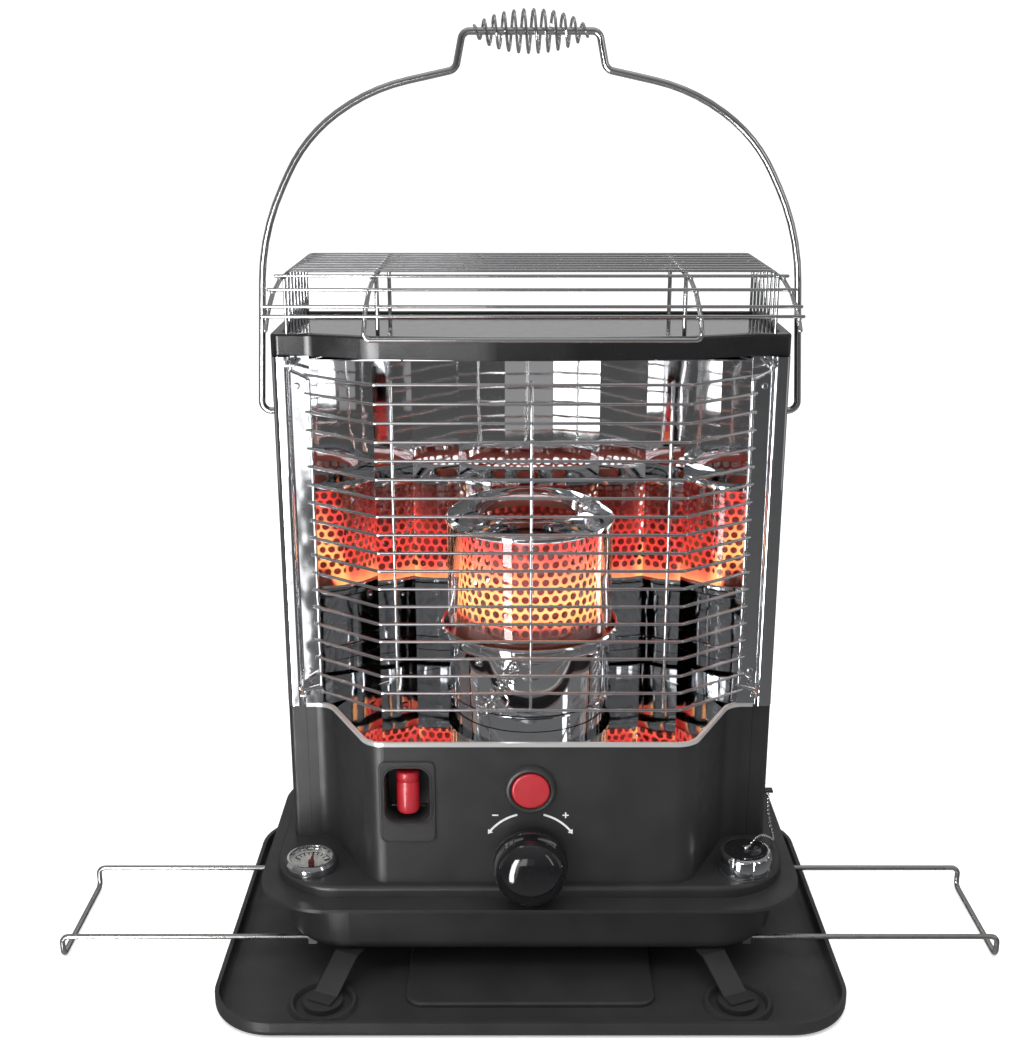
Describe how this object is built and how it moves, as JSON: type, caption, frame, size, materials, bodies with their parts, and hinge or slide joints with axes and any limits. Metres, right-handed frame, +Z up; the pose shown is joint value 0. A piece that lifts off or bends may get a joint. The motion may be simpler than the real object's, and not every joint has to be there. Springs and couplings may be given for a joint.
{
  "type": "kerosene heater",
  "caption": "Portable radiant kerosene heater: fuel tank base in a drip tray, reflector cabinet, glass burner, wire guards, bail handle and slide-out stabiliser loops.",
  "frame": {"origin": "on the floor under the middle of the drip tray", "axes": "+Z up, +Y from the front guard to the back panel, +X to the viewer's right, towards the filler cap"},
  "size_m": [0.696, 0.29, 0.67],
  "materials": {
    "black_enamel": "satin charcoal paint",
    "gloss_black": "gloss black paint",
    "chrome": "polished",
    "wire_chrome": "bright plated wire",
    "mirror": "bright rolled mirror sheet",
    "steel": "plain steel",
    "zinc_wire": "zinc-plated wire",
    "glass": "clear heat-proof glass",
    "emitter": "red-hot perforated sheet",
    "red_plastic": "gloss red",
    "black_plastic": "gloss black",
    "dark_ring": "satin black",
    "dial_face": "pale printed face",
    "needle": "dark red",
    "rubber": "matt",
    "wick_fabric": "glass-fibre and cotton",
    "brass": "plain",
    "cork": "float",
    "battery": "plain wrapped cell"
  },
  "bodies": {
    "base": {"drip_tray": "black_enamel", "support_legs": "black_enamel", "tank_lower_shell": "black_enamel", "tank_upper_shell": "black_enamel", "loop_guides": "steel", "filler_neck": "steel", "fuel_strainer": "steel", "gauge_dial": "dial_face", "gauge_lens": "glass", "gauge_bezel": "chrome", "left_side_panel": "black_enamel", "right_side_panel": "black_enamel", "back_panel": "black_enamel", "top_cover": "gloss_black", "top_plate": "gloss_black", "ceiling_reflector": "mirror", "front_panel": "black_enamel", "panel_trim": "chrome", "left_post": "chrome", "right_post": "chrome", "rear_reflector": "mirror", "reflector_floor": "mirror", "wick_gallery": "chrome", "draught_tube": "steel", "gallery_nuts": "brass", "button_bezel": "dark_ring", "shutoff_bezel": "dark_ring", "shaft_bush": "brass", "battery_case": "dark_ring", "batteries": "battery", "igniter_bracket": "steel", "top_guard_wires": "wire_chrome", "top_guard_frame": "wire_chrome", "handle_bushes": "steel", "cap_chain": "chrome", "cabinet_screws": "chrome"},
    "front_guard": {"guard_wires": "wire_chrome", "guard_uprights": "wire_chrome"},
    "handle": {"handle_wire": "wire_chrome", "grip_coil": "wire_chrome"},
    "left_loop": {"left_stabiliser": "zinc_wire"},
    "right_loop": {"right_stabiliser": "zinc_wire"},
    "cap": {"fuel_cap": "chrome", "cap_seal": "rubber"},
    "knob": {"wick_knob": "black_plastic", "knob_shaft": "brass"},
    "wick_carrier": {"wick": "wick_fabric", "wick_holder": "steel"},
    "button": {"igniting_button": "red_plastic"},
    "igniter": {"igniter_arm": "steel"},
    "shutoff": {"shutoff_lever": "red_plastic"},
    "burner": {"burner_base": "chrome", "emitter_cylinder": "emitter", "glass_chimney": "glass", "burner_top_ring": "chrome", "inner_flame_tube": "steel", "burner_knob": "wire_chrome"},
    "needle": {"gauge_needle": "needle"},
    "float": {"float_arm": "cork"},
    "battery_flap": {"battery_door": "dark_ring"}
  },
  "joints": [
    {"name": "front_guard_hinge", "type": "hinge", "parent": "base", "child": "front_guard", "pos_m": [-0.1645, -0.006, 0.3], "axis": [0, 0, -1], "range_deg": [0, 100]},
    {"name": "handle_hinge", "type": "hinge", "parent": "base", "child": "handle", "pos_m": [0, 0.064, 0.39], "axis": [-1, 0, 0], "range_deg": [-20, 150]},
    {"name": "left_loop_slide", "type": "slide", "parent": "base", "child": "left_loop", "axis": [-1, 0, 0], "range_m": [-0.118, 0]},
    {"name": "right_loop_slide", "type": "slide", "parent": "base", "child": "right_loop", "axis": [1, 0, 0], "range_m": [-0.118, 0]},
    {"name": "cap_lift", "type": "slide", "parent": "base", "child": "cap", "axis": [0, 0, 1], "range_m": [0, 0.05], "deforming": ["cap_chain"]},
    {"name": "knob_turn", "type": "hinge", "parent": "base", "child": "knob", "pos_m": [0, -0.03, 0.09], "axis": [0, -1, 0], "range_deg": [0, 95]},
    {"name": "wick_travel", "type": "slide", "parent": "base", "child": "wick_carrier", "axis": [0, 0, 1], "range_m": [-0.0099, 0]},
    {"name": "button_press", "type": "slide", "parent": "base", "child": "button", "axis": [0, 1, 0], "range_m": [0, 0.006], "stiffness_N_per_m": 250},
    {"name": "igniter_swing", "type": "hinge", "parent": "base", "child": "igniter", "pos_m": [0, -0.0348, 0.12], "axis": [-1, 0, 0], "range_deg": [0, 14]},
    {"name": "shutoff_press", "type": "hinge", "parent": "base", "child": "shutoff", "pos_m": [-0.088, -0.0515, 0.127], "axis": [-1, 0, 0], "range_deg": [0, 12], "stiffness_Nm_per_rad": 0.08},
    {"name": "burner_turn", "type": "hinge", "parent": "base", "child": "burner", "pos_m": [0, 0.033, 0.2], "axis": [0, 0, 1], "range_deg": [-10, 8]},
    {"name": "needle_turn", "type": "hinge", "parent": "base", "child": "needle", "pos_m": [-0.161, -0.038, 0.072], "axis": [0, 0, 1], "range_deg": [-60, 72]},
    {"name": "float_rise", "type": "hinge", "parent": "base", "child": "float", "pos_m": [-0.161, -0.03, 0.054], "axis": [1, 0, 0], "range_deg": [-10, 8]},
    {"name": "battery_flap_hinge", "type": "hinge", "parent": "base", "child": "battery_flap", "pos_m": [0, 0.1215, 0.0735], "axis": [-1, 0, 0], "range_deg": [0, 95]}
  ],
  "couplings": [
    {"joint": "knob_turn", "follows": "wick_travel", "rad_per_m": -166.67},
    {"joint": "igniter_swing", "follows": "button_press", "rad_per_m": 40},
    {"joint": "needle_turn", "follows": "float_rise", "ratio": -7}
  ]
}
